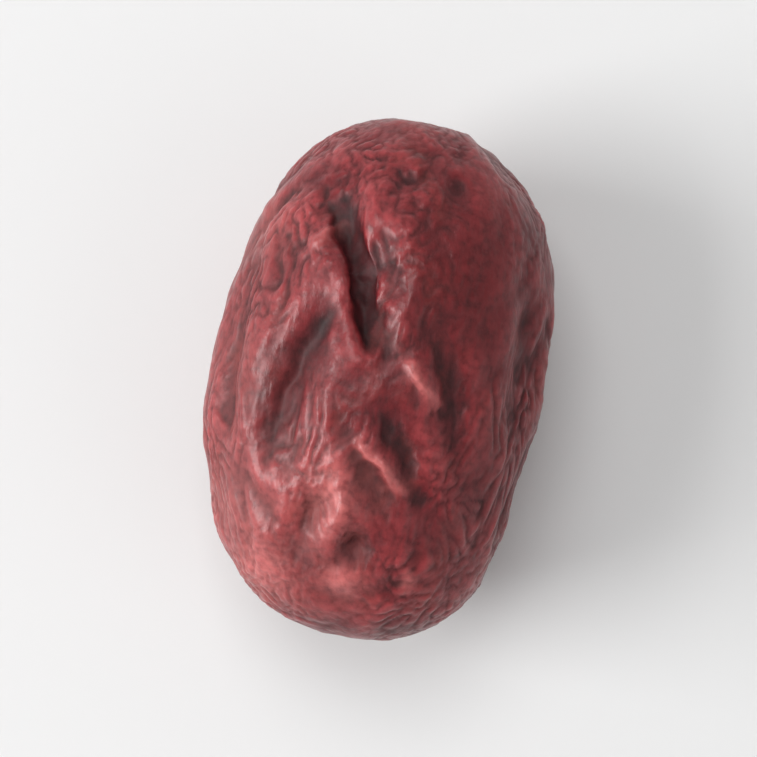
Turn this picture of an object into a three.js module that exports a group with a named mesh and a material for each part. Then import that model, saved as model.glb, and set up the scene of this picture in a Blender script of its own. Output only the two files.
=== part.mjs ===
// A dried jujube, or red date: one oblong drupe with a wrinkled skin, lying on its side,
// and the dry stub of its stalk, which stands in the cavity at the stem end.
// Millimetres, +Z up. The long axis lies along Y with the stem end at +Y, and the fruit rests at z = 0
// on a small spot that its own weight has pressed flat. The origin is under the middle of the fruit.

import * as THREE from 'three';
import { ImprovedNoise } from 'three/addons/math/ImprovedNoise.js';
import { mergeVertices } from 'three/addons/utils/BufferGeometryUtils.js';

// Driving dimensions of the plump form, which the crests of the folds still touch
const LENGTH = 36.4;
const WIDTH = 23.7;
const THICKNESS = 22.0;
const END_BLUNTNESS = 2.42; // superellipse exponent along the length: 2 is an ellipse, more is blunter
const TAPER = 0.03; // share of the girth that is lost at the stem end, and gained at the tip
const BEND = 0.55; // how far the ends stand to +X of the middle, half of it to each side
const RESTING_PRESS = 0.42; // height lost to the pressed spot under the fruit
const MESH_FREQUENCY = 24; // divisions of each icosahedron edge
const MERGE_DISTANCE = 1e-5; // on a sphere of radius 1

// Stem end and tip
const CAVITY = { depth: 2.7, radius: 2.8, drop: 1.7 }; // drop is the distance below the long axis
const TIP = { depth: 1.2, radius: 2.1, drop: 1.2 };
const RIM_STEEPNESS = 3; // how sharply the rim of either hollow turns in
const RIM_CALM = 0.3; // how far out of either hollow the folds stay low: less is further
const END_CALM = 0.7; // share of the folds' height that is missing at the ends
const END_REACH = 4; // how far from the middle that share sets in: more is further

// Folds of the dried skin: round on top, with narrow creases between them
const FOLD_SETS = [
  { size: 3.7, height: 0.3, shift: 3.3 },
  { size: 1.9, height: 0.12, shift: 11.6 },
];
const FOLD_CREST = 0.45; // noise level at which a fold has its full height
const FOLD_STRETCH = 2.2; // how many times longer than wide the folds are
const GATHER_RADIUS = 3; // towards the ends the folds narrow until they are this far from the axis
const WANDER = { size: 5.2, reach: 2.0, shifts: [27.4, 54.8, 82.2] }; // how the folds stray from straight
const UNEVENNESS = { size: 7, share: 1.1, least: 0.2, most: 1.8, shift: 5.7 }; // of the folds' height
const HOLLOWS = { size: 12, height: 0.35, shift: 41.2 }; // broad dips and swellings of the flesh

// Furrows where the flesh has sunk, as points [x, y] seen from above or below, stem end up
const FURROWS = [
  // The long crease of the upper side swings in from the left and dies out past the middle
  {
    side: 1,
    width: 1.25,
    depth: 1.35,
    route: [[-5.4, 12], [-3.7, 9.2], [-1.9, 7], [-1.5, 3.8], [-0.4, 1.6]],
  },
  { side: 1, width: 1.6, depth: 0.75, route: [[-3.0, 4.4], [-5.4, 0.6], [-6.3, -3.1], [-6.0, -7.6]] },
  // Slanting creases between the short ridges of the tip-end half
  { side: 1, width: 1.1, depth: 0.5, route: [[3.9, 3.2], [4.6, -0.2], [5.4, -4.6]] },
  { side: 1, width: 0.95, depth: 0.5, route: [[0.6, -1.9], [1.8, -4.6], [3.9, -8.4]] },
  { side: 1, width: 1.0, depth: 0.4, route: [[-0.6, -5.6], [0.9, -7.8], [0.9, -9.6]] },
  { side: 1, width: 1.0, depth: 0.5, route: [[-4.1, -8.2], [-3.0, -10.6], [-4.4, -13.6]] },
  { side: 1, width: 0.8, depth: 0.55, route: [[0.3, -10.4], [0.0, -11.2], [0.2, -12.1]] },
  // Broad flattened places: the right flank towards the tip, and the right shoulder of the stem end
  { side: 1, width: 4.5, depth: 0.9, route: [[12, -1], [12, -7], [10.4, -13.4]] },
  { side: 1, width: 3.2, depth: 0.95, route: [[8.6, 14.6], [6.2, 16.4], [3.0, 17.7]] },
  // Flanks and underside
  { side: 1, width: 1.5, depth: 0.6, route: [[8.6, 8.6], [9.6, 3.0], [9.3, -3.6]] },
  { side: 1, width: 1.2, depth: 0.6, route: [[-10.2, 4.8], [-10.6, -1.0], [-9.9, -6.2]] },
  { side: -1, width: 1.4, depth: 0.6, route: [[-10.2, 9.0], [-10.0, 3.6], [-10.6, -2.6], [-8.8, -9.8]] },
  { side: -1, width: 1.4, depth: 0.65, route: [[9.0, 10.0], [10.2, 4.0], [9.6, -1.6], [8.8, -9.4]] },
  { side: -1, width: 1.1, depth: 0.6, route: [[1.2, -9.6], [-1.4, -12.4], [-0.6, -15.0]] },
];
// Short ridges where the skin is pinched up between the furrows, on like routes
const RIDGES = [
  { side: 1, width: 0.75, height: 0.4, route: [[1.8, 1.5], [2.9, 0.1], [4.0, -1.2]] },
  { side: 1, width: 0.75, height: 0.4, route: [[-0.6, -4.1], [1.2, -5.6], [3.0, -7.1]] },
  { side: 1, width: 1.0, height: 0.4, route: [[-2.4, -5.2], [-1.1, -8.9], [-2.8, -12.3]] },
  { side: 1, width: 0.85, height: 0.3, route: [[-1.0, -13.0], [0.0, -13.6], [0.9, -13.5]] },
];
const FURROW_SAMPLES = 32;
const FURROW_FADE = 0.6; // how quickly a furrow gains its depth from its ends
const LIP_HEIGHT = 0.22; // share of a furrow's depth by which its lips stand up
const LIP_OFFSET = 2.0; // distance of the lips from the furrow, in furrow widths

// Places where the skin stays nearly taut: ease is the share of the folds' height that is missing there
const TAUT_PLACES = [
  { side: 1, at: [5.4, 8.0], radius: 5.6, ease: 0.75 },
  { side: 1, at: [-9.2, 1.0], radius: 5.0, ease: 0.5 },
  { side: -1, at: [0, 0], radius: 6.5, ease: 0.8 },
];

// Stalk stub
const STALK_LENGTH = 1.9;
const STALK_RADIUS = 0.72;
const STALK_LEAN = 0.12; // radians
const STALK_GAP = 0.35; // clearance between the root and the floor of the cavity
const STALK_SIDES = 14;
// Outline of the stub from its flared root to its broken end, as shares of its radius and its length
const STALK_PROFILE = [[0, 0], [1.46, 0], [1.1, 0.22], [0.92, 0.55], [1.08, 0.86], [0.8, 1], [0, 0.95]];

const SKIN_COLOUR = '#74262a';
const STALK_COLOUR = '#5a4130';

const grain = new ImprovedNoise();

// Noise from -1 to 1 over space, whose swells are about size across; the shift picks another stretch of it
function noiseAt(point, size, shift) {
  return grain.noise(point.x / size + shift, point.y / size + shift, point.z / size + shift);
}

// An even triangle mesh of the unit sphere with shared vertices
function geodesicSphere() {
  const ball = new THREE.IcosahedronGeometry(1, MESH_FREQUENCY - 1);
  ball.deleteAttribute('normal');
  ball.deleteAttribute('uv');
  return mergeVertices(ball, MERGE_DISTANCE);
}

// Sideways place of the bowed axis at a station from -1, the tip, to 1, the stem end
function bendAt(station) {
  return BEND * (station * station - 1 / 2);
}

// The plump form's skin in a direction from its centre
function plumpPoint(direction) {
  const across = Math.hypot(direction.x, direction.z);
  const sum = across ** END_BLUNTNESS + Math.abs(direction.y) ** END_BLUNTNESS;
  const swell = sum ** (-1 / END_BLUNTNESS);
  const station = direction.y * swell;
  const girth = swell * (1 - TAPER * station);
  return new THREE.Vector3(
    (WIDTH / 2) * direction.x * girth + bendAt(station),
    (LENGTH / 2) * station,
    (THICKNESS / 2) * direction.z * girth,
  );
}

// The plump form's skin above or below a point [x, y] of its plan
function skinOver([x, y], side) {
  const station = y / (LENGTH / 2);
  const girth = (1 - Math.abs(station) ** END_BLUNTNESS) ** (1 / END_BLUNTNESS) * (1 - TAPER * station);
  const across = (x - bendAt(station)) / ((WIDTH / 2) * girth);
  const rise = Math.sqrt(Math.max(0, 1 - across * across));
  return new THREE.Vector3(x, y, side * (THICKNESS / 2) * girth * rise);
}

// A point of the skin laid out so that even noise gives long folds on the flanks, gathered at the ends
function laidOut(point) {
  const x = point.x - bendAt(point.y / (LENGTH / 2));
  const radius = Math.hypot(x, point.z);
  const turn = Math.atan2(point.z, x);
  const spread = Math.hypot(radius, GATHER_RADIUS);
  const run = Math.abs(point.y) + Math.max(0, THICKNESS / 2 - radius);
  return new THREE.Vector3(
    spread * Math.cos(turn),
    (Math.sign(point.y) * run) / FOLD_STRETCH,
    spread * Math.sin(turn),
  );
}

// Height of the folds at a point, below the plump form
function foldHeight(point) {
  const place = laidOut(point);
  const astray = WANDER.shifts.map((shift) => WANDER.reach * noiseAt(place, WANDER.size, shift));
  place.add(new THREE.Vector3(...astray));
  let height = 0;
  for (const { size, height: crest, shift } of FOLD_SETS) {
    const rise = Math.abs(noiseAt(place, size, shift)) / FOLD_CREST;
    height += crest * (Math.min(1, rise) - 1);
  }
  const uneven = 1 + UNEVENNESS.share * noiseAt(point, UNEVENNESS.size, UNEVENNESS.shift);
  return height * THREE.MathUtils.clamp(uneven, UNEVENNESS.least, UNEVENNESS.most);
}

// Height of the skin over the plump form that the furrows, their lips and the ridges give at a point
function furrowHeight(point, furrows) {
  let height = 0;
  for (const { samples, width, depth } of furrows) {
    let nearest = 0;
    for (let k = 1; k < samples.length; k++) {
      if (point.distanceToSquared(samples[k]) < point.distanceToSquared(samples[nearest])) nearest = k;
    }
    const fade = Math.sin((Math.PI * (nearest + 0.5)) / samples.length) ** FURROW_FADE;
    const away = point.distanceTo(samples[nearest]) / width;
    height -= depth * fade * Math.exp(-away * away);
    height += depth * fade * LIP_HEIGHT * Math.exp(-((away - LIP_OFFSET) ** 2));
  }
  return height;
}

// Share of the folds' height that shows at a point, from 0 where the skin is taut to 1
function looseness(point) {
  let share = 1;
  for (const { side, at, radius, ease } of TAUT_PLACES) {
    const away = point.distanceTo(skinOver(at, side)) / radius;
    share *= 1 - ease * Math.exp(-away * away);
  }
  return share;
}

// Share by which the skin is drawn in at the stem cavity or at the tip: 1 on the axis, 0 well away from it
function drawnIn(point) {
  const { radius, drop } = point.y > 0 ? CAVITY : TIP;
  const away = Math.hypot(point.x - bendAt(1), point.z + drop) / radius;
  return Math.exp(-(away ** RIM_STEEPNESS));
}

function fruitGeometry() {
  const geometry = geodesicSphere();
  const position = geometry.getAttribute('position');
  const ridges = RIDGES.map(({ height, ...ridge }) => ({ ...ridge, depth: -height }));
  const furrows = [...FURROWS, ...ridges].map(({ side, width, depth, route }) => {
    const curve = new THREE.CatmullRomCurve3(route.map((at) => skinOver(at, side)));
    return { samples: curve.getPoints(FURROW_SAMPLES), width, depth };
  });
  for (let i = 0; i < position.count; i++) {
    position.setXYZ(i, ...plumpPoint(new THREE.Vector3().fromBufferAttribute(position, i)));
  }
  geometry.computeVertexNormals();
  const outward = geometry.getAttribute('normal').clone();
  const floor = RESTING_PRESS - THICKNESS / 2;
  for (let i = 0; i < position.count; i++) {
    const point = new THREE.Vector3().fromBufferAttribute(position, i);
    const drawn = drawnIn(point);
    const calm = 1 - END_CALM * (point.y / (LENGTH / 2)) ** END_REACH;
    const folds = foldHeight(point) * looseness(point) * calm * (1 - drawn ** RIM_CALM);
    const hollow = HOLLOWS.height * noiseAt(point, HOLLOWS.size, HOLLOWS.shift);
    const height = folds + hollow + furrowHeight(point, furrows);
    const skin = new THREE.Vector3().fromBufferAttribute(outward, i).multiplyScalar(height).add(point);
    skin.y += point.y > 0 ? -CAVITY.depth * drawn : TIP.depth * drawn;
    position.setXYZ(i, skin.x, skin.y, Math.max(skin.z, floor));
  }
  geometry.computeVertexNormals();
  return geometry;
}

// A short woody peg with a flared root and a slightly swollen end
function stalkGeometry() {
  const profile = STALK_PROFILE.map(([out, up]) => new THREE.Vector2(out * STALK_RADIUS, up * STALK_LENGTH));
  return new THREE.LatheGeometry(profile, STALK_SIDES);
}

const fruit = new THREE.Mesh(
  fruitGeometry(),
  new THREE.MeshStandardMaterial({ color: SKIN_COLOUR, roughness: 0.4, metalness: 0 }),
);
fruit.name = 'fruit';

const stalk = new THREE.Mesh(
  stalkGeometry(),
  new THREE.MeshStandardMaterial({ color: STALK_COLOUR, roughness: 0.85, metalness: 0 }),
);
stalk.name = 'stalk';
stalk.position.set(bendAt(1), LENGTH / 2 - CAVITY.depth + STALK_GAP, -CAVITY.drop);
stalk.rotation.set(0, 0, -STALK_LEAN);

const jujube = new THREE.Group();
jujube.add(fruit, stalk);

// The origin goes under the middle of the fruit, at the height that it rests on
const box = new THREE.Box3().setFromObject(jujube);
const middle = box.getCenter(new THREE.Vector3());
jujube.position.set(-middle.x, -middle.y, -box.min.z);

export default jujube;
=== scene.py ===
import math

import bpy
import numpy as np
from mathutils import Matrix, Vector, noise


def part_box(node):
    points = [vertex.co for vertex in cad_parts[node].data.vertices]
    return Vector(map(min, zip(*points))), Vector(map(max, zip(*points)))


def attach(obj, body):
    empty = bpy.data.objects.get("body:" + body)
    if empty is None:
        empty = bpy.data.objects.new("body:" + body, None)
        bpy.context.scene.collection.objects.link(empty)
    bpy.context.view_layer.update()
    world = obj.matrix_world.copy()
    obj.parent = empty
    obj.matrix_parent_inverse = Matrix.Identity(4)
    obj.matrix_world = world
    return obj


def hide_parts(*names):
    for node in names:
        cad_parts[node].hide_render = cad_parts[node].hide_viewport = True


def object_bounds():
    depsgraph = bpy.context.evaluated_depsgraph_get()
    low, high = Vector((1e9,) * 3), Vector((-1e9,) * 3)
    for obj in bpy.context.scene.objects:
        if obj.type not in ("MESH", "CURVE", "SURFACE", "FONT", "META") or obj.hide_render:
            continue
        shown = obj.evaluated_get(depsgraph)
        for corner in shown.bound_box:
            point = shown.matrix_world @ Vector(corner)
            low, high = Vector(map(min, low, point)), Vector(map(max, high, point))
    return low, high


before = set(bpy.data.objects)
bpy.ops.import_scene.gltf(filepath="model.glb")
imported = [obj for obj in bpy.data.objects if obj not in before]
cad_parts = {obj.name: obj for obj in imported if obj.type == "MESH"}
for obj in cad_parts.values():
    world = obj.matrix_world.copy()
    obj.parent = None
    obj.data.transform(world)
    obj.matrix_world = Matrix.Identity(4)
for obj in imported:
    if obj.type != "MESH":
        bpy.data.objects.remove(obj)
cad_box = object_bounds()

# Skin of the fruit
# The jujube is one drupe that was dried whole. Its thin, waxy skin stayed too large for the shrinking flesh,
# so it lies in long folds with finer wrinkles between them, and it is drawn in round the stem and the tip.
# The fruit lies on its side, on a small spot that its own weight has pressed flat.
MILLIMETRE = 0.001
WELD_DIGITS = 4  # decimals of a millimetre to which two corners are the same point


def welded(mesh):
    """The points, in millimetres, and the triangles of a mesh, with its split corners shared again."""
    corners = np.empty(len(mesh.vertices) * 3)
    mesh.vertices.foreach_get("co", corners)
    triangles = np.empty(len(mesh.polygons) * 3, dtype=np.int64)
    mesh.polygons.foreach_get("vertices", triangles)
    rounded = np.round(corners.reshape(-1, 3) / MILLIMETRE, WELD_DIGITS)
    points, shared = np.unique(rounded, axis=0, return_inverse=True)
    return points, shared.reshape(-1)[triangles].reshape(-1, 3)


def refined(points, faces):
    """One round of Loop subdivision: each triangle becomes four, on a smoother surface."""
    count = len(points)
    start = faces.reshape(-1)
    end = np.roll(faces, -1, axis=1).reshape(-1)
    opposite = np.roll(faces, -2, axis=1).reshape(-1)
    keys = np.minimum(start, end) * count + np.maximum(start, end)
    edges, edge_of_side = np.unique(keys, return_inverse=True)
    edge_of_side = edge_of_side.reshape(-1)
    one, other = edges // count, edges % count
    wings = np.zeros((len(edges), 3))
    np.add.at(wings, edge_of_side, points[opposite])
    middles = 3 / 8 * (points[one] + points[other]) + 1 / 8 * wings
    ring = np.zeros((count, 3))
    np.add.at(ring, one, points[other])
    np.add.at(ring, other, points[one])
    valence = np.bincount(one, minlength=count) + np.bincount(other, minlength=count)
    share = (5 / 8 - (3 / 8 + np.cos(2 * np.pi / valence) / 4) ** 2) / valence
    moved = points * (1 - valence * share)[:, None] + ring * share[:, None]
    a, b, c = faces.T
    ab, bc, ca = (edge_of_side + count).reshape(-1, 3).T
    quarters = [(a, ab, ca), (b, bc, ab), (c, ca, bc), (ab, bc, ca)]
    return np.vstack([moved, middles]), np.vstack([np.stack(corners, axis=1) for corners in quarters])


def outward(points, faces):
    """The direction out of the surface at each point."""
    a, b, c = points[faces].transpose(1, 0, 2)
    facing = np.cross(b - a, c - a)
    normals = np.zeros_like(points)
    for corner in faces.T:
        np.add.at(normals, corner, facing)
    return normals / np.linalg.norm(normals, axis=1)[:, None]


def neighbours(count, faces):
    """Each point's neighbours, one row a point; short rows repeat the point itself."""
    start = np.concatenate([faces, np.roll(faces, 1, axis=1)]).reshape(-1)
    end = np.concatenate([np.roll(faces, -1, axis=1), faces]).reshape(-1)
    links = np.unique(start * count + end)
    start, end = links // count, links % count
    valence = np.bincount(start, minlength=count)
    first = np.cumsum(valence) - valence
    near = np.repeat(np.arange(count)[:, None], valence.max(), axis=1)
    near[start, np.arange(len(links)) - first[start]] = end
    return near


def standing_out(points, normals, near, reach):
    """How far each point stands out of the surface within that many rounds of neighbours."""
    around = points
    for _ in range(reach):
        around = (around + around[near].mean(axis=1)) / 2
    return np.einsum("ij,ij->i", points - around, normals)


# The folds of the solid, refined twice, with their creases drawn in sharper each time
CREASE_DEEPENING = (0.65, 0.4)
CREASE_REACH = 8
FOLD_LIFT = 0.3  # share of the deepening by which the folds also rise

points, faces = welded(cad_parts["fruit"].data)
for deepening in CREASE_DEEPENING:
    points, faces = refined(points, faces)
    normals = outward(points, faces)
    near = neighbours(len(points), faces)
    proud = standing_out(points, normals, near, CREASE_REACH)
    drawn = deepening * (np.minimum(proud, 0) + FOLD_LIFT * np.maximum(proud, 0))
    points = points + normals * drawn[:, None]
normals = outward(points, faces)


def noise_at(places, size, shift):
    """Noise from -1 to 1 whose swells are about size across; the shift picks another stretch of it."""
    return np.array([noise.noise(Vector(place)) for place in places / size + shift])


# Fine wrinkles, in millimetres: round on top, with narrow creases between them
WRINKLE_SETS = (
    {"size": 1.05, "height": 0.1, "shift": 3.3},
    {"size": 0.52, "height": 0.046, "shift": 8.1},
)
WRINKLE_CREST = 0.45  # noise level at which a wrinkle has its full height
WRINKLE_MEAN = 0.7  # mean height of the wrinkles, which is taken off so that the fruit keeps its size
WRINKLE_STRETCH = 1.8  # how many times longer than wide a wrinkle is
WRINKLE_GATHER = 3.0  # distance from the axis within which the wrinkles run together
WRINKLE_WANDER = {"size": 3.0, "reach": 1.4, "shifts": (11.3, 37.7, 71.1)}
SMOOTH_PATCHES = {"size": 5.5, "share": 1.4, "least": 0.25, "most": 1.9, "shift": 3.3}
TAUT_PLACES = (
    {"at": (5.6, 8.0, 17.0), "radius": 6.5, "ease": 0.75},
    {"at": (-11.5, 2.0, 9.0), "radius": 5.0, "ease": 0.4},
)
END_CALM = {"share": 0.6, "power": 4}
REST_CALM = 1.2  # height above the resting spot over which the wrinkles come up


def laid_out(points):
    """The points of the skin placed so that even noise gives long wrinkles, gathered at both ends."""
    axis_height = points[:, 2].max() / 2
    x, y, z = points[:, 0], points[:, 1], points[:, 2] - axis_height
    radius = np.hypot(x, z)
    turn = np.arctan2(z, x)
    spread = np.hypot(radius, WRINKLE_GATHER)
    run = np.abs(y) + np.maximum(0, axis_height - radius)
    lengthwise = np.sign(y) * run / WRINKLE_STRETCH
    return np.stack([spread * np.cos(turn), lengthwise, spread * np.sin(turn)], axis=1)


def wrinkle_height(points):
    """The height of the fine wrinkles at each point."""
    places = laid_out(points)
    size, reach = WRINKLE_WANDER["size"], WRINKLE_WANDER["reach"]
    astray = [noise_at(places, size, shift) for shift in WRINKLE_WANDER["shifts"]]
    places = places + reach * np.stack(astray, axis=1)
    height = np.zeros(len(points))
    for wrinkles in WRINKLE_SETS:
        rise = np.abs(noise_at(places, wrinkles["size"], wrinkles["shift"])) / WRINKLE_CREST
        height += wrinkles["height"] * (np.minimum(rise, 1) - WRINKLE_MEAN)
    patches = 1 + SMOOTH_PATCHES["share"] * noise_at(points, SMOOTH_PATCHES["size"], SMOOTH_PATCHES["shift"])
    height *= np.clip(patches, SMOOTH_PATCHES["least"], SMOOTH_PATCHES["most"])
    for place in TAUT_PLACES:
        away = np.linalg.norm(points - place["at"], axis=1) / place["radius"]
        height *= 1 - place["ease"] * np.exp(-away * away)
    station = points[:, 1] / np.abs(points[:, 1]).max()
    height *= 1 - END_CALM["share"] * station ** END_CALM["power"]
    return height * (1 - np.exp(-points[:, 2] / REST_CALM))


# Both ends: the skin is puckered round the stalk and the tip, and the tip keeps the scar of the style
stalk_low, stalk_high = (np.array(corner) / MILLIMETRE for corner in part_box("stalk"))
stalk_foot = np.array([(stalk_low[0] + stalk_high[0]) / 2, stalk_low[1], (stalk_low[2] + stalk_high[2]) / 2])
TIP_CENTRE = np.array([0.4, -16.8, 9.2])
PUCKERS = (
    {"at": stalk_foot, "height": 0.22, "turns": 1.9, "radius": 3.4, "width": 1.6, "shift": 5.5},
    {"at": TIP_CENTRE, "height": 0.2, "turns": 1.5, "radius": 2.3, "width": 1.3, "shift": 9.1},
)
PUCKER_RUN = 6.0  # distance outward over which a pucker changes
STYLE_SCAR = {"radius": 0.42, "height": 0.5}


def end_height(points):
    """The height of the puckers at both ends, and of the scar at the tip."""
    height = np.zeros(len(points))
    for pucker in PUCKERS:
        across, _, up = (points - pucker["at"]).T
        radius = np.hypot(across, up)
        turn = np.arctan2(up, across)
        places = np.stack([np.cos(turn), radius / PUCKER_RUN / pucker["turns"], np.sin(turn)], axis=1)
        rise = np.abs(noise_at(places, 1 / pucker["turns"], pucker["shift"])) / WRINKLE_CREST
        shows = np.exp(-(((radius - pucker["radius"]) / pucker["width"]) ** 2))
        this_end = points[:, 1] * pucker["at"][1] > 0
        height += this_end * pucker["height"] * shows * (np.minimum(rise, 1) - WRINKLE_MEAN)
    from_tip = np.linalg.norm(points - TIP_CENTRE, axis=1) / STYLE_SCAR["radius"]
    return height + STYLE_SCAR["height"] * np.exp(-from_tip * from_tip)


# Clefts and pinched ridges of the upper side, as points (x, y) seen from above with the stem end up
CLEFTS = (
    {
        "route": ((-5.4, 11.2), (-3.7, 8.9), (-2.4, 6.8), (-1.6, 4.2), (-1.0, 1.2)),
        "width": 0.55,
        "depth": 0.85,
    },
    {"route": ((-2.6, 4.8), (-5.2, 0.8), (-6.3, -3.1), (-6.0, -7.6)), "width": 0.5, "depth": 0.25},
)
# The last number of each ridge is the share of painted highlight that lies along its crest.
PINCHES = (
    {"route": ((1.7, 1.5), (2.9, 0.1), (4.1, -1.3)), "width": 0.38, "height": 0.28, "painted_highlight": 1.0},
    {"route": ((-0.7, -4.0), (1.2, -5.6), (3.1, -7.2)), "width": 0.38, "height": 0.28, "painted_highlight": 1.0},
    {"route": ((-2.4, -4.8), (-1.1, -8.9), (-2.8, -12.7)), "width": 0.8, "height": 0.12, "painted_highlight": 0.45},
    {"route": ((-1.4, -12.8), (0.0, -13.6), (1.2, -13.5)), "width": 0.7, "height": 0.12, "painted_highlight": 0.5},
    {"route": ((4.0, -12.0), (4.3, -13.0), (4.3, -14.0)), "width": 0.4, "height": 0.15, "painted_highlight": 0.6},
    {"route": ((-2.7, 11.0), (-1.4, 7.6), (-0.3, 4.0)), "width": 0.6, "height": 0.5, "painted_highlight": 0.0},
    {"route": ((-6.2, 7.7), (-4.8, 8.8), (-3.6, 9.9)), "width": 0.38, "height": 0.4, "painted_highlight": 0.4},
)
ROUTE_WANDER = {"size": 1.6, "reach": 0.5, "shifts": (61.3, 87.9)}
ROUTE_FADE = 0.7  # below 1, a cleft or ridge keeps its depth closer to its ends


def along(points, route, width):
    """How close each point of the upper side is to a route seen from above: 1 on it, less at its ends."""
    route = np.array(route)
    legs = np.diff(route, axis=0)
    lengths = np.linalg.norm(legs, axis=1)
    astray = [noise_at(points, ROUTE_WANDER["size"], shift) for shift in ROUTE_WANDER["shifts"]]
    seen = points[:, :2] + ROUTE_WANDER["reach"] * np.stack(astray, axis=1)
    nearest = np.full(len(points), np.inf)
    gone = np.zeros(len(points))
    for k, (start, leg) in enumerate(zip(route, legs)):
        share = np.clip((seen - start) @ leg / (leg @ leg), 0, 1)
        away = np.linalg.norm(seen - start - share[:, None] * leg, axis=1)
        gone = np.where(away < nearest, lengths[:k].sum() + share * lengths[k], gone)
        nearest = np.minimum(nearest, away)
    fade = np.maximum(np.sin(np.pi * gone / lengths.sum()), 0) ** ROUTE_FADE
    on_top = points[:, 2] > points[:, 2].max() / 2
    return on_top * fade * np.exp(-((nearest / width) ** 2))


relief = wrinkle_height(points) + end_height(points)
for cleft in CLEFTS:
    relief -= cleft["depth"] * along(points, cleft["route"], cleft["width"])
# Painted highlight along the crests of the pinched ridges.
ridge_highlight_painted = np.zeros(len(points))
for pinch in PINCHES:
    ridge = along(points, pinch["route"], pinch["width"])
    relief += pinch["height"] * ridge
    ridge_highlight_painted += pinch["painted_highlight"] * ridge
points = points + normals * relief[:, None]
points[:, 2] = np.maximum(points[:, 2], 0)
normals = outward(points, faces)

# What the colour follows: furrows and wrinkles, darkened into their creases as painted shade, both ends, and
# patches of painted shade and painted light on the upper side
FURROW_REACH = 160
WRINKLE_REACH = 10
LEVEL_MIDDLE = 0.5
LEVEL_SPREAD = 0.2
GLOSSY_FURROW = (0.15, 0.65)
GLOSSY_WRINKLE = (0.3, 0.63)
STEM_REACH = 3.2  # radius of the browned skin round the stalk
TIP_REACH = 1.1  # the same round the scar at the tip
# Painted shade: darker patches on the upper right and the right side, away from the light, and in the left
# valley.
PAINTED_SHADE_PLACES = (
    {"at": (5.6, 7.6), "radius": 6.0, "share": 0.7},
    {"at": (8.5, -4.0), "radius": 5.0, "share": 0.4},
    {"at": (-6.0, -1.4), "radius": 2.6, "share": 0.6},
)
# Painted light: pale patches where the light from the left falls brightest, down the left flank, across the
# lower part and at the tip.
PAINTED_LIGHT_PLACES = (
    {"at": (-11.6, -1.0), "radius": 4.6, "share": 0.2},
    {"at": (-9.0, -10.0), "radius": 4.0, "share": 0.4},
    {"at": (-5.4, -14.2), "radius": 2.4, "share": 0.7},
    {"at": (-2.0, -7.8), "radius": 2.8, "share": 0.5},
    {"at": (0.2, -13.8), "radius": 1.8, "share": 0.45},
    {"at": (-9.8, 8.4), "radius": 2.8, "share": 0.3},
)
MARK_FADE = (0.15, 0.5)  # shares of the fruit's height between which the marks come up


def marked(points, places):
    """How far the listed patches of painted shade and painted light on the upper side colour each point."""
    level = np.zeros(len(points))
    for place in places:
        away = np.linalg.norm(points[:, :2] - place["at"], axis=1) / place["radius"]
        level += place["share"] * np.exp(-away * away)
    return level * np.interp(points[:, 2] / points[:, 2].max(), MARK_FADE, (0, 1))


levels = {
    "furrow": standing_out(points, normals, near, FURROW_REACH),
    "wrinkle": standing_out(points, normals, near, WRINKLE_REACH),
}
for name, level in levels.items():
    levels[name] = LEVEL_MIDDLE + LEVEL_SPREAD * level / level.std()
high_fold = np.interp(levels["furrow"], GLOSSY_FURROW, (0, 1))
high_wrinkle = np.interp(levels["wrinkle"], GLOSSY_WRINKLE, (0, 1))
from_stalk = np.linalg.norm(points - stalk_foot, axis=1) / STEM_REACH
from_tip = np.linalg.norm(points - TIP_CENTRE, axis=1) / TIP_REACH
levels["gloss"] = high_fold * high_wrinkle
levels["browned"] = np.exp(-from_stalk * from_stalk) + np.exp(-from_tip * from_tip)
# Painted shade patches.
levels["painted_shade"] = marked(points, PAINTED_SHADE_PLACES)
# Painted light patches, and the painted highlights along the pinched crests.
levels["painted_highlight"] = marked(points, PAINTED_LIGHT_PLACES) + ridge_highlight_painted

skin_mesh = bpy.data.meshes.new("fruit_skin")
skin_mesh.from_pydata((points * MILLIMETRE).tolist(), [], faces.tolist())
skin_mesh.polygons.foreach_set("use_smooth", np.ones(len(faces), dtype=bool))
for name, level in levels.items():
    values = skin_mesh.attributes.new(name, "FLOAT", "POINT")
    values.data.foreach_set("value", np.clip(level, 0, 1).astype(np.float32))
skin_mesh.update()
skin = bpy.data.objects.new("fruit_skin", skin_mesh)
bpy.context.scene.collection.objects.link(skin)


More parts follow.
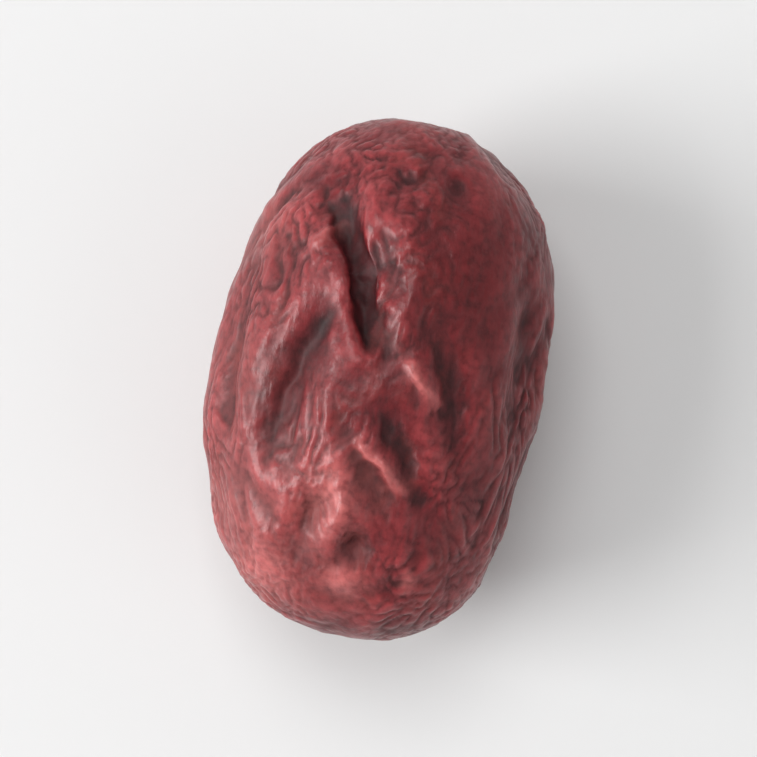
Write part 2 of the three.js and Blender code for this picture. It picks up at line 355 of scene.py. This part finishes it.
class Finish:
    """A procedural material: each method adds one kind of node and gives its output."""

    def __init__(self, name):
        self.material = bpy.data.materials.new(name)
        self.material.use_nodes = True
        self.nodes = self.material.node_tree.nodes
        self.links = self.material.node_tree.links
        self.shader = self.nodes["Principled BSDF"]
        self.place = self.nodes.new("ShaderNodeTexCoord").outputs["Object"]

    def put(self, value, socket):
        if isinstance(value, bpy.types.NodeSocket):
            self.links.new(value, socket)
        else:
            socket.default_value = value

    def level(self, name):
        node = self.nodes.new("ShaderNodeAttribute")
        node.attribute_name = name
        return node.outputs["Fac"]

    def stretched(self, stretch):
        node = self.nodes.new("ShaderNodeMapping")
        node.inputs["Scale"].default_value = stretch
        self.links.new(self.place, node.inputs["Vector"])
        return node.outputs["Vector"]

    def noise(self, grain, detail, place=None):
        node = self.nodes.new("ShaderNodeTexNoise")
        node.inputs["Scale"].default_value = 1 / (grain * MILLIMETRE)
        node.inputs["Detail"].default_value = detail
        self.links.new(place or self.place, node.inputs["Vector"])
        return node.outputs["Fac"]

    def ramp(self, level, stops):
        node = self.nodes.new("ShaderNodeValToRGB")
        band = node.color_ramp
        while len(band.elements) < len(stops):
            band.elements.new(1.0)
        for element, (place, colour) in zip(band.elements, stops):
            element.position = place
            element.color = (*colour, 1)
        self.links.new(level, node.inputs["Fac"])
        return node.outputs["Color"]

    def mix(self, kind, share, under, over):
        node = self.nodes.new("ShaderNodeMix")
        node.data_type = "RGBA"
        node.blend_type = kind
        for name, value in (("Factor", share), ("A", under), ("B", over)):
            self.put(value, next(socket for socket in node.inputs if socket.name == name and socket.enabled))
        return next(socket for socket in node.outputs if socket.enabled)

    def between(self, level, low, high, start=0.0, end=1.0):
        node = self.nodes.new("ShaderNodeMapRange")
        for name, value in (("From Min", start), ("From Max", end), ("To Min", low), ("To Max", high)):
            node.inputs[name].default_value = value
        self.links.new(level, node.inputs["Value"])
        return node.outputs["Result"]

    def bump(self, height, depth, strength):
        node = self.nodes.new("ShaderNodeBump")
        node.inputs["Distance"].default_value = depth * MILLIMETRE
        node.inputs["Strength"].default_value = strength
        self.links.new(height, node.inputs["Height"])
        return node.outputs["Normal"]

    def set(self, sockets):
        for name, value in sockets.items():
            self.put(value, self.shader.inputs[name])
        return self.material


# The darkest red of the fold ramp, in the creases, is painted shade; the ramp lightens on the crests.
PAINTED_SHADE_CREASE_RED = (0.055, 0.0050, 0.0075)
DEEP_RED = (0.102, 0.0094, 0.0125)
SKIN_RED = (0.175, 0.0175, 0.0215)
CREST_RED = (0.290, 0.0400, 0.0450)
STAIN_RED = (0.075, 0.0060, 0.0090)
BRICK_RED = (0.250, 0.0330, 0.0290)
# The red of the painted shade patches.
PAINTED_SHADE_RED = (0.105, 0.0070, 0.0090)
# The pale coral of the painted light and painted highlights.
PAINTED_HIGHLIGHT_RED = (0.580, 0.1600, 0.1520)
STEM_BROWN = (0.130, 0.0420, 0.0200)
# Painted shade and painted highlight: factors that darken the wrinkle creases and brighten the wrinkle
# crests.
PAINTED_SHADE_WRINKLE_CREASE = (0.45, 0.40, 0.42)
PAINTED_SHADE_WRINKLE_MEAN = (0.92, 0.90, 0.90)
PAINTED_HIGHLIGHT_WRINKLE_CREST = (1.15, 1.20, 1.18)
DARK_FLECK = (0.60, 0.54, 0.56)
PLAIN_FLECK = (0.96, 0.96, 0.96)
PALE_FLECK = (1.20, 1.24, 1.22)
# Along the furrow level the red darkens into the furrows as painted shade and lightens on the crests.
FOLD_REDS_AND_PAINTED_SHADE = ((0.1, PAINTED_SHADE_CREASE_RED), (0.38, DEEP_RED), (0.6, SKIN_RED), (0.95, CREST_RED))
PAINTED_WRINKLE_SHADE_AND_HIGHLIGHT = ((0.1, PAINTED_SHADE_WRINKLE_CREASE), (0.5, PAINTED_SHADE_WRINKLE_MEAN), (0.9, PAINTED_HIGHLIGHT_WRINKLE_CREST))
FLECK_SHADES = ((0.32, DARK_FLECK), (0.5, PLAIN_FLECK), (0.7, PALE_FLECK))
FLECK_SHARE = 0.85
DULL_ROUGHNESS = 0.64
WAXED_ROUGHNESS = 0.32
LENGTHWISE_CLOUDS = (1.0, 0.6, 1.0)
LENGTHWISE_GRAIN = (1.0, 0.55, 1.0)

red = Finish("waxy_red_skin")
# Painted shade: the base red darkens down the furrows.
folds = red.ramp(red.level("furrow"), FOLD_REDS_AND_PAINTED_SHADE)
# Painted shade in the wrinkle creases and a painted highlight on their crests, multiplied over the red.
painted_wrinkle_shade = red.ramp(red.level("wrinkle"), PAINTED_WRINKLE_SHADE_AND_HIGHLIGHT)
colour = red.mix("MULTIPLY", 1.0, folds, painted_wrinkle_shade)
stains = red.between(red.noise(grain=4.5, detail=4.0), low=0.0, high=0.75, start=0.48, end=0.72)
colour = red.mix("MIX", stains, colour, (*STAIN_RED, 1))
clouds = red.noise(grain=2.6, detail=5.0, place=red.stretched(LENGTHWISE_CLOUDS))
warmth = red.between(clouds, low=0.0, high=0.5, start=0.5, end=0.75)
colour = red.mix("MIX", warmth, colour, (*BRICK_RED, 1))
# Painted shade: the darker patches of the upper side.
painted_shade = red.between(red.level("painted_shade"), low=0.0, high=0.8)
colour = red.mix("MIX", painted_shade, colour, (*PAINTED_SHADE_RED, 1))
# Painted light and painted highlight: pale coral on the lit left side and along the pinched crests.
painted_highlight = red.between(red.level("painted_highlight"), low=0.0, high=0.8)
colour = red.mix("MIX", painted_highlight, colour, (*PAINTED_HIGHLIGHT_RED, 1))
flecks = red.ramp(red.noise(grain=0.55, detail=5.0), FLECK_SHADES)
colour = red.mix("MULTIPLY", FLECK_SHARE, colour, flecks)
browned = red.between(red.level("browned"), low=0.0, high=0.6)
colour = red.mix("MIX", browned, colour, (*STEM_BROWN, 1))
polish = red.between(red.level("gloss"), low=DULL_ROUGHNESS, high=WAXED_ROUGHNESS)
pores = red.noise(grain=0.26, detail=3.0, place=red.stretched(LENGTHWISE_GRAIN))
grain = red.bump(pores, depth=0.06, strength=0.6)
wax = {
    "Base Color": colour,
    "Roughness": polish,
    "Normal": grain,
    "Specular IOR Level": 0.36,
    "Coat Weight": 0.06,
    "Coat Roughness": 0.3,
    "Subsurface Weight": 0.06,
    "Subsurface Radius": (1.0, 0.25, 0.15),
    "Subsurface Scale": 0.8 * MILLIMETRE,
}
skin_mesh.materials.append(red.set(wax))
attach(skin, "root")
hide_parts("fruit")

# Stalk
# A dry stub of the stalk stands in the cavity at the stem end, where the fruit snapped off its twig.
# It is brown and woody, grown into the flesh at its root, shrunken into ridges, and broken off at its end.
STALK_REFINEMENTS = 3
ROOT_DEPTH = 0.5
STALK_RIBS = {"size": 0.42, "height": 0.11, "lengthwise": 0.25, "shift": 2.2}
BROKEN_END = {"size": 0.35, "height": 0.35, "share": 0.2, "shift": 9.4}

points, faces = welded(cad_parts["stalk"].data)
for _ in range(STALK_REFINEMENTS):
    points, faces = refined(points, faces)
stalk_length = points[:, 1].max() - points[:, 1].min()
up_the_stalk = (points[:, 1] - points[:, 1].min()) / stalk_length
points[:, 1] -= ROOT_DEPTH * (1 - up_the_stalk) ** 2
normals = outward(points, faces)
ribs = noise_at(points * (1, STALK_RIBS["lengthwise"], 1), STALK_RIBS["size"], STALK_RIBS["shift"])
splinters = noise_at(points, BROKEN_END["size"], BROKEN_END["shift"])
splinters *= np.interp(up_the_stalk, (1 - BROKEN_END["share"], 1), (0, 1))
points = points + normals * (STALK_RIBS["height"] * ribs)[:, None]
points[:, 1] += BROKEN_END["height"] * splinters
stalk_mesh = bpy.data.meshes.new("stalk_stub")
stalk_mesh.from_pydata((points * MILLIMETRE).tolist(), [], faces.tolist())
stalk_mesh.polygons.foreach_set("use_smooth", np.ones(len(faces), dtype=bool))
stalk_mesh.update()
stalk = bpy.data.objects.new("stalk_stub", stalk_mesh)
bpy.context.scene.collection.objects.link(stalk)

BARK_CRACK = (0.030, 0.014, 0.008)
BARK_BROWN = (0.110, 0.058, 0.030)
BARK_STRAW = (0.240, 0.150, 0.085)
BARK_COLOURS = ((0.3, BARK_CRACK), (0.55, BARK_BROWN), (0.75, BARK_STRAW))
LENGTHWISE_FIBRES = (1.0, 0.2, 1.0)
bark = Finish("dry_bark")
fibres = bark.noise(grain=0.3, detail=4.0, place=bark.stretched(LENGTHWISE_FIBRES))
colour = bark.ramp(fibres, BARK_COLOURS)
ridges = bark.bump(fibres, depth=0.06, strength=0.7)
stalk_mesh.materials.append(bark.set({"Base Color": colour, "Roughness": 0.82, "Normal": ridges}))
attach(stalk, "root")
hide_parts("stalk")

# Floor, light and camera
# The fruit lies on a plain pale sweep of card, which curves up all round it, under soft studio light from
# the left. It is seen from straight above, with its stem end at the top and leaning to the right.
SWEEP_MIDDLE = 0.05  # metres, as all sizes of the studio
SWEEP_RADIUS = 0.55
SWEEP_RISE = 0.45
SWEEP_SIDES = 96
SWEEP_STEPS = 24
SWEEP_GREY = 0.80

profile = [(SWEEP_MIDDLE, 0.0), (SWEEP_RADIUS, 0.0)]
for step in range(1, SWEEP_STEPS + 1):
    turn = math.pi / 2 * step / SWEEP_STEPS
    profile.append((SWEEP_RADIUS + SWEEP_RISE * math.sin(turn), SWEEP_RISE * (1 - math.cos(turn))))
corners = [(0, 0, 0)]
for radius, height in profile:
    for side in range(SWEEP_SIDES):
        turn = 2 * math.pi * side / SWEEP_SIDES
        corners.append((radius * math.cos(turn), radius * math.sin(turn), height))
panels = [(0, 1 + side, 1 + (side + 1) % SWEEP_SIDES) for side in range(SWEEP_SIDES)]
for ring in range(len(profile) - 1):
    low, high = 1 + ring * SWEEP_SIDES, 1 + (ring + 1) * SWEEP_SIDES
    for side in range(SWEEP_SIDES):
        after = (side + 1) % SWEEP_SIDES
        panels.append((low + side, high + side, high + after, low + after))
sweep_mesh = bpy.data.meshes.new("sweep")
sweep_mesh.from_pydata(corners, [], panels)
sweep_mesh.polygons.foreach_set("use_smooth", np.ones(len(panels), dtype=bool))
sweep = bpy.data.objects.new("sweep", sweep_mesh)
bpy.context.scene.collection.objects.link(sweep)
card = Finish("pale_card")
paper = {"Base Color": (SWEEP_GREY, SWEEP_GREY, SWEEP_GREY, 1), "Roughness": 0.8}
sweep_mesh.materials.append(card.set(paper))

SOFT_BOXES = (
    {"name": "key", "at": (-0.67, -0.14, 0.48), "size": 0.46, "power": 5.6},
    {"name": "fill", "at": (0.68, -0.20, 0.52), "size": 0.60, "power": 0.6},
    {"name": "top", "at": (-0.20, 0.40, 0.92), "size": 0.52, "power": 3.7},
)
STUDIO_GLOW = 0.28

middle = (cad_box[0] + cad_box[1]) / 2
for box in SOFT_BOXES:
    lamp = bpy.data.lights.new(box["name"], "AREA")
    lamp.size = box["size"]
    lamp.energy = box["power"]
    soft_box = bpy.data.objects.new(box["name"], lamp)
    soft_box.location = box["at"]
    soft_box.visible_camera = False
    soft_box.rotation_euler = (middle - soft_box.location).to_track_quat("-Z", "Y").to_euler()
    bpy.context.scene.collection.objects.link(soft_box)

studio = bpy.data.worlds.new("studio")
studio.use_nodes = True
studio.node_tree.nodes["Background"].inputs["Color"].default_value = (1, 1, 1, 1)
studio.node_tree.nodes["Background"].inputs["Strength"].default_value = STUDIO_GLOW
bpy.context.scene.world = studio
bpy.context.scene.view_settings.view_transform = "Standard"

LENS = 100.0
SENSOR = 36.0
FRUIT_LEAN = math.radians(10.0)
FRUIT_SHARE = 0.68  # share of the picture's height that the fruit takes up

lens = bpy.data.cameras.new("camera")
lens.lens = LENS
lens.sensor_width = SENSOR
camera = bpy.data.objects.new("camera", lens)
distance = (cad_box[1].y - cad_box[0].y) / FRUIT_SHARE * LENS / SENSOR
camera.location = (middle.x, middle.y, middle.z + distance)
camera.rotation_euler = (0, 0, FRUIT_LEAN)
bpy.context.scene.collection.objects.link(camera)
bpy.context.scene.camera = camera
